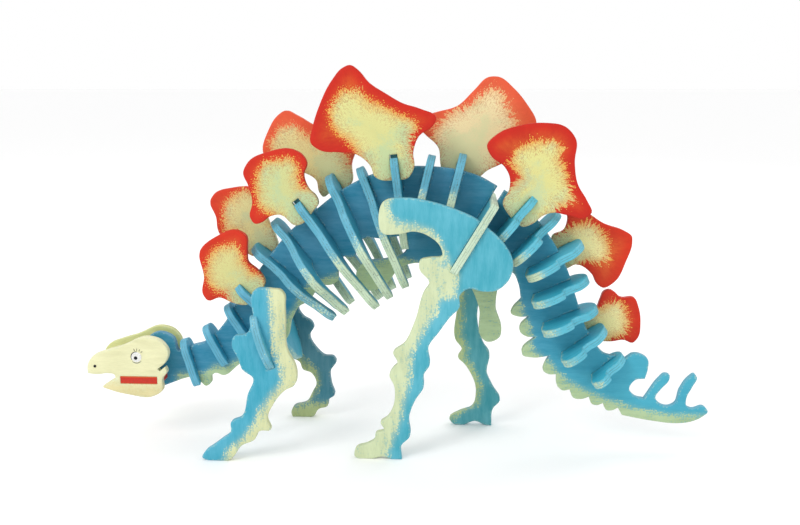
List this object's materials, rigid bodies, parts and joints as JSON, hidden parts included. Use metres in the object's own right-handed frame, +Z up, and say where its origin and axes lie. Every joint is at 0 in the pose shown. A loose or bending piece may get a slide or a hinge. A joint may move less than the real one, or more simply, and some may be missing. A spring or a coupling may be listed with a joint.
{
  "type": "slot-together dinosaur puzzle",
  "caption": "Flat-sheet wooden jigsaw of a stegosaurus: an arched spine with neck, rib, hip and tail plates, legs and back plates that all slide apart.",
  "frame": {"origin": "middle of the footprint of the whole model, on the surface it stands on", "axes": "+X along the body towards the tail's tip, +Y towards the animal's right, +Z up"},
  "size_m": [0.2501, 0.0656, 0.1516],
  "materials": {
    "spine_ply": "hand-painted plywood, satin",
    "jaw_bar_ply": "hand-painted plywood, satin",
    "head_ply": "hand-painted plywood, satin",
    "neck_ply": "hand-painted plywood, satin",
    "shoulder_ply": "hand-painted plywood, satin",
    "rib_ply": "hand-painted plywood, satin",
    "hip_ply": "hand-painted plywood, satin",
    "tail_ply": "hand-painted plywood, satin",
    "front_leg_ply": "hand-painted plywood, satin",
    "hind_leg_ply": "hand-painted plywood, satin",
    "back_plate_ply": "hand-painted plywood, satin"
  },
  "bodies": {
    "spine": {"spine": "spine_ply"},
    "jaw_bar": {"jaw_bar": "jaw_bar_ply"},
    "head_left": {"head_left": "head_ply"},
    "head_right": {"head_right": "head_ply"},
    "neck_1": {"neck_1": "neck_ply"},
    "neck_2": {"neck_2": "neck_ply"},
    "neck_3": {"neck_3": "neck_ply"},
    "neck_4": {"neck_4": "neck_ply"},
    "rib_1": {"rib_1": "rib_ply"},
    "rib_2": {"rib_2": "rib_ply"},
    "rib_3": {"rib_3": "rib_ply"},
    "rib_4": {"rib_4": "rib_ply"},
    "rib_5": {"rib_5": "rib_ply"},
    "rib_6": {"rib_6": "rib_ply"},
    "rib_7": {"rib_7": "rib_ply"},
    "rib_8": {"rib_8": "rib_ply"},
    "hip": {"hip": "hip_ply"},
    "tail_1": {"tail_1": "tail_ply"},
    "tail_2": {"tail_2": "tail_ply"},
    "tail_3": {"tail_3": "tail_ply"},
    "tail_4": {"tail_4": "tail_ply"},
    "tail_5": {"tail_5": "tail_ply"},
    "tail_6": {"tail_6": "tail_ply"},
    "tail_7": {"tail_7": "tail_ply"},
    "shoulder": {"shoulder": "shoulder_ply"},
    "front_leg_left": {"front_leg_left": "front_leg_ply"},
    "front_leg_right": {"front_leg_right": "front_leg_ply"},
    "hind_leg_left": {"hind_leg_left": "hind_leg_ply"},
    "hind_leg_right": {"hind_leg_right": "hind_leg_ply"},
    "plate_left_1": {"plate_left_1": "back_plate_ply"},
    "plate_left_2": {"plate_left_2": "back_plate_ply"},
    "plate_left_3": {"plate_left_3": "back_plate_ply"},
    "plate_left_4": {"plate_left_4": "back_plate_ply"},
    "plate_right_1": {"plate_right_1": "back_plate_ply"},
    "plate_right_2": {"plate_right_2": "back_plate_ply"},
    "plate_right_3": {"plate_right_3": "back_plate_ply"},
    "plate_right_4": {"plate_right_4": "back_plate_ply"},
    "plate_right_5": {"plate_right_5": "back_plate_ply"}
  },
  "joints": [
    {"name": "jaw_bar_pull", "type": "slide", "parent": "spine", "child": "jaw_bar", "axis": [-1, 0, 0], "range_m": [0, 0.016]},
    {"name": "head_left_off", "type": "slide", "parent": "jaw_bar", "child": "head_left", "axis": [0, -1, 0], "range_m": [0, 0.008]},
    {"name": "head_right_off", "type": "slide", "parent": "jaw_bar", "child": "head_right", "axis": [0, 1, 0], "range_m": [0, 0.008]},
    {"name": "neck_1_lift", "type": "slide", "parent": "spine", "child": "neck_1", "axis": [-0.284, 0, 0.9588], "range_m": [0, 0.009]},
    {"name": "neck_2_lift", "type": "slide", "parent": "spine", "child": "neck_2", "axis": [-0.4664, 0, 0.8846], "range_m": [0, 0.009]},
    {"name": "neck_3_lift", "type": "slide", "parent": "spine", "child": "neck_3", "axis": [-0.5446, 0, 0.8387], "range_m": [0, 0.009]},
    {"name": "neck_4_lift", "type": "slide", "parent": "spine", "child": "neck_4", "axis": [-0.7193, 0, 0.6947], "range_m": [0, 0.009]},
    {"name": "rib_1_lift", "type": "slide", "parent": "spine", "child": "rib_1", "axis": [-0.788, 0, 0.6157], "range_m": [0, 0.009]},
    {"name": "rib_2_lift", "type": "slide", "parent": "spine", "child": "rib_2", "axis": [-0.6481, 0, 0.7615], "range_m": [0, 0.009]},
    {"name": "rib_3_lift", "type": "slide", "parent": "spine", "child": "rib_3", "axis": [-0.6018, 0, 0.7986], "range_m": [0, 0.009]},
    {"name": "rib_4_lift", "type": "slide", "parent": "spine", "child": "rib_4", "axis": [-0.4695, 0, 0.8829], "range_m": [0, 0.009]},
    {"name": "rib_5_lift", "type": "slide", "parent": "spine", "child": "rib_5", "axis": [-0.3795, 0, 0.9252], "range_m": [0, 0.009]},
    {"name": "rib_6_lift", "type": "slide", "parent": "spine", "child": "rib_6", "axis": [-0.1271, 0, 0.9919], "range_m": [0, 0.009]},
    {"name": "rib_7_lift", "type": "slide", "parent": "spine", "child": "rib_7", "axis": [0.225, 0, 0.9744], "range_m": [0, 0.009]},
    {"name": "rib_8_lift", "type": "slide", "parent": "spine", "child": "rib_8", "axis": [0.2419, 0, 0.9703], "range_m": [0, 0.009]},
    {"name": "hip_lift", "type": "slide", "parent": "spine", "child": "hip", "axis": [0.515, 0, 0.8572], "range_m": [0, 0.008]},
    {"name": "tail_1_lift", "type": "slide", "parent": "spine", "child": "tail_1", "axis": [0.6561, 0, 0.7547], "range_m": [0, 0.009]},
    {"name": "tail_2_lift", "type": "slide", "parent": "spine", "child": "tail_2", "axis": [0.7242, 0, 0.6896], "range_m": [0, 0.009]},
    {"name": "tail_3_lift", "type": "slide", "parent": "spine", "child": "tail_3", "axis": [0.8771, 0, 0.4802], "range_m": [0, 0.009]},
    {"name": "tail_4_lift", "type": "slide", "parent": "spine", "child": "tail_4", "axis": [0.9259, 0, 0.3778], "range_m": [0, 0.009]},
    {"name": "tail_5_lift", "type": "slide", "parent": "spine", "child": "tail_5", "axis": [0.9285, 0, 0.3714], "range_m": [0, 0.009]},
    {"name": "tail_6_lift", "type": "slide", "parent": "spine", "child": "tail_6", "axis": [0.829, 0, 0.5592], "range_m": [0, 0.008]},
    {"name": "tail_7_lift", "type": "slide", "parent": "spine", "child": "tail_7", "axis": [0.788, 0, 0.6157], "range_m": [0, 0.009]},
    {"name": "shoulder_drop", "type": "slide", "parent": "spine", "child": "shoulder", "axis": [0.304, 0, -0.9527], "range_m": [0, 0.02]},
    {"name": "front_leg_left_drop", "type": "slide", "parent": "shoulder", "child": "front_leg_left", "axis": [0.304, 0, -0.9527], "range_m": [0, 0.034]},
    {"name": "front_leg_right_drop", "type": "slide", "parent": "shoulder", "child": "front_leg_right", "axis": [0.304, 0, -0.9527], "range_m": [0, 0.034]},
    {"name": "hind_leg_left_drop", "type": "slide", "parent": "hip", "child": "hind_leg_left", "axis": [-0.515, 0, -0.8572], "range_m": [0, 0.028]},
    {"name": "hind_leg_right_drop", "type": "slide", "parent": "hip", "child": "hind_leg_right", "axis": [-0.515, 0, -0.8572], "range_m": [0, 0.028]},
    {"name": "plate_left_1_lift", "type": "slide", "parent": "neck_4", "child": "plate_left_1", "axis": [-0.7193, 0, 0.6947], "range_m": [0, 0.012]},
    {"name": "plate_left_2_lift", "type": "slide", "parent": "rib_3", "child": "plate_left_2", "axis": [-0.6018, 0, 0.7986], "range_m": [-0.0032, 0.012]},
    {"name": "plate_left_3_lift", "type": "slide", "parent": "rib_6", "child": "plate_left_3", "axis": [-0.1271, 0, 0.9919], "range_m": [-0.0032, 0.012]},
    {"name": "plate_left_4_lift", "type": "slide", "parent": "tail_1", "child": "plate_left_4", "axis": [0.6561, 0, 0.7547], "range_m": [0, 0.012]},
    {"name": "plate_right_1_lift", "type": "slide", "parent": "rib_1", "child": "plate_right_1", "axis": [-0.788, 0, 0.6157], "range_m": [0, 0.012]},
    {"name": "plate_right_2_lift", "type": "slide", "parent": "rib_4", "child": "plate_right_2", "axis": [-0.4695, 0, 0.8829], "range_m": [0, 0.012]},
    {"name": "plate_right_3_lift", "type": "slide", "parent": "rib_8", "child": "plate_right_3", "axis": [0.2419, 0, 0.9703], "range_m": [0, 0.012]},
    {"name": "plate_right_4_lift", "type": "slide", "parent": "tail_3", "child": "plate_right_4", "axis": [0.8771, 0, 0.4802], "range_m": [0, 0.01]},
    {"name": "plate_right_5_lift", "type": "slide", "parent": "tail_6", "child": "plate_right_5", "axis": [0.829, 0, 0.5592], "range_m": [0, 0.007]}
  ]
}
